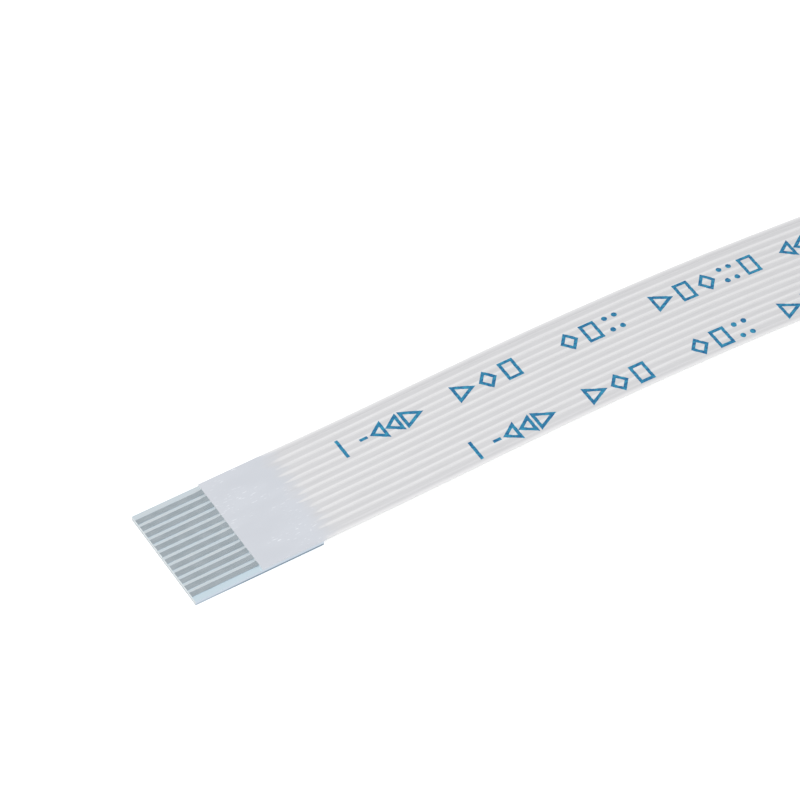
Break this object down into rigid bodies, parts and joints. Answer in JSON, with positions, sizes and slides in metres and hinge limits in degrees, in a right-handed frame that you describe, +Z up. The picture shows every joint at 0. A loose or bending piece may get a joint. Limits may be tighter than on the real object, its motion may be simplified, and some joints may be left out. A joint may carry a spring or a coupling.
{
  "type": "flat flex cable",
  "caption": "Flat flexible jumper cable: parallel flat conductors sealed between two films, with bare contacts on a stiffener tape at each end for a zero-insertion-force socket.",
  "frame": {"origin": "on the surface that the cable lies on, under the middle of its length and width", "axes": "+X along the cable from the near end to the far end, +Y across it, +Z up, the side that the contacts face"},
  "size_m": [0.1, 0.0066, 0.0015],
  "materials": {
    "conductor": "tin-plated copper, smooth, dull silver",
    "film": "white translucent polyester, satin",
    "stiffener": "pale blue polyester tape, satin"
  },
  "bodies": {
    "root": {"conductor_01": "conductor", "conductor_02": "conductor", "conductor_03": "conductor", "conductor_04": "conductor", "conductor_05": "conductor", "conductor_06": "conductor", "conductor_07": "conductor", "conductor_08": "conductor", "conductor_09": "conductor", "conductor_10": "conductor", "conductor_11": "conductor", "conductor_12": "conductor", "top_film": "film", "bottom_film": "film", "near_stiffener": "stiffener", "far_stiffener": "stiffener"}
  },
  "joints": []
}
